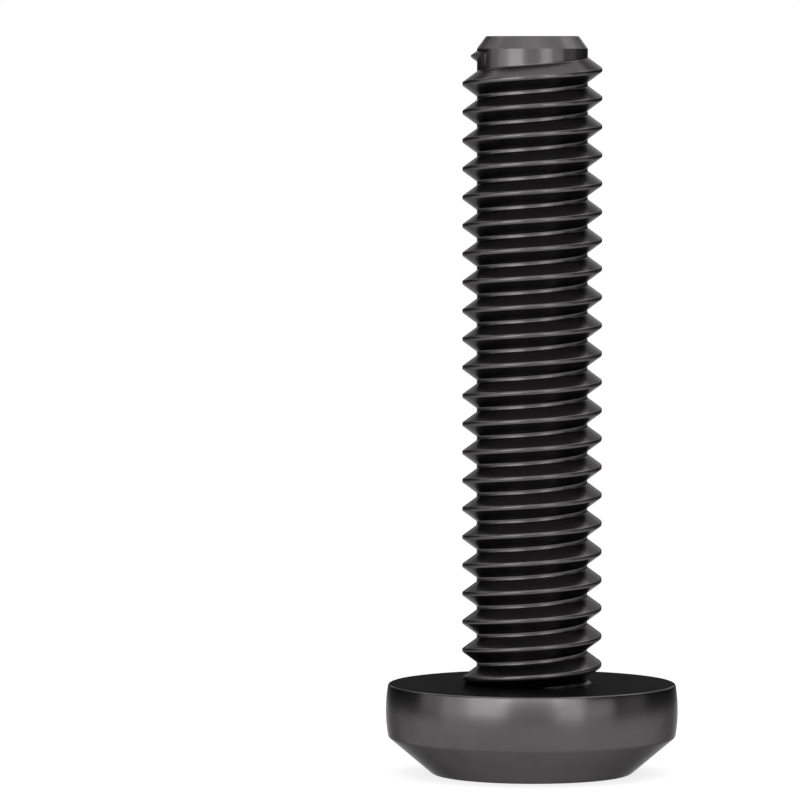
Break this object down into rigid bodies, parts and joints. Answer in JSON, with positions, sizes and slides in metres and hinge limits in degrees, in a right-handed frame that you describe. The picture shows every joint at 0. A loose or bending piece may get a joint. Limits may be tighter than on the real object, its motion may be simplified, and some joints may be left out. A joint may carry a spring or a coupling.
{
  "type": "furniture connector bolt",
  "caption": "Black steel connector bolt with a wide low bevelled head, a hex socket in its flat face and a shank threaded from the head to a chamfered point.",
  "frame": {"origin": "centre of the head's flat outer face, on the bolt's axis, where the bolt stands", "axes": "+Z along the axis from the head to the point of the shank; +X to the right as the picture shows the standing bolt"},
  "size_m": [0.0132, 0.0132, 0.0331],
  "materials": {
    "black_steel": "satin black oxide"
  },
  "bodies": {
    "root": {"bolt": "black_steel"}
  },
  "joints": []
}
